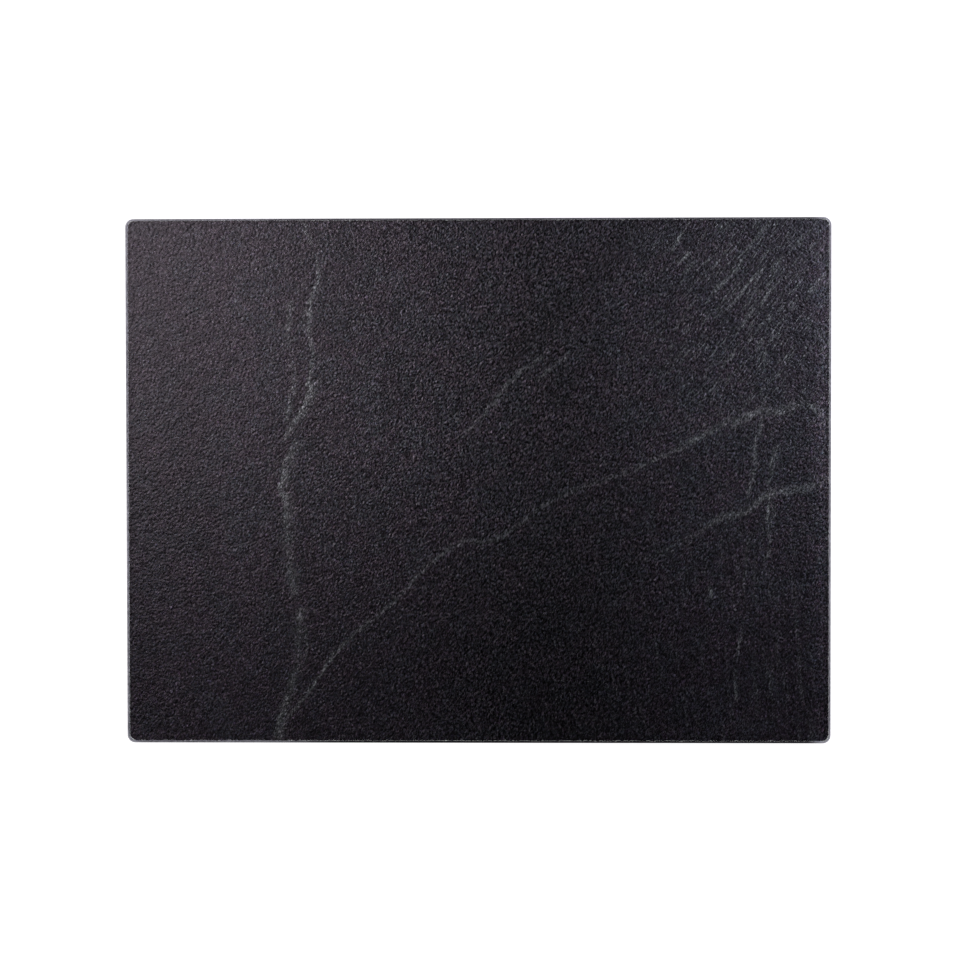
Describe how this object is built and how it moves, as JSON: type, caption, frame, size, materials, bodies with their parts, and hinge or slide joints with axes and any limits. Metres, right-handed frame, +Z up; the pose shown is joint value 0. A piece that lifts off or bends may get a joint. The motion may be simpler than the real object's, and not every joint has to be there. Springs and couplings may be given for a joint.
{
  "type": "glass cutting board",
  "caption": "Rectangular tempered glass cutting board with rounded corners, a pebbled top, a dark slate print behind the glass and soft feet beneath.",
  "frame": {"origin": "on the surface that the board stands on, under the middle of the pane", "axes": "+X along the long side, +Y along the short side, +Z up through the cutting face"},
  "size_m": [0.4, 0.298, 0.0084],
  "materials": {
    "clear_glass": "clear tempered glass, pebbled on top, ground edges",
    "slate_print": "dark slate print with pale grey veins",
    "charcoal_coat": "matt charcoal sealing coat",
    "milky_silicone": "milky soft silicone",
    "foot_tape": "pale double-sided tape"
  },
  "bodies": {
    "root": {"glass_pane": "clear_glass", "decor_print": "slate_print", "backing_coat": "charcoal_coat", "foot_1": "milky_silicone", "foot_2": "milky_silicone", "foot_3": "milky_silicone", "foot_4": "milky_silicone", "foot_tape_1": "foot_tape", "foot_tape_2": "foot_tape", "foot_tape_3": "foot_tape", "foot_tape_4": "foot_tape"}
  },
  "joints": []
}
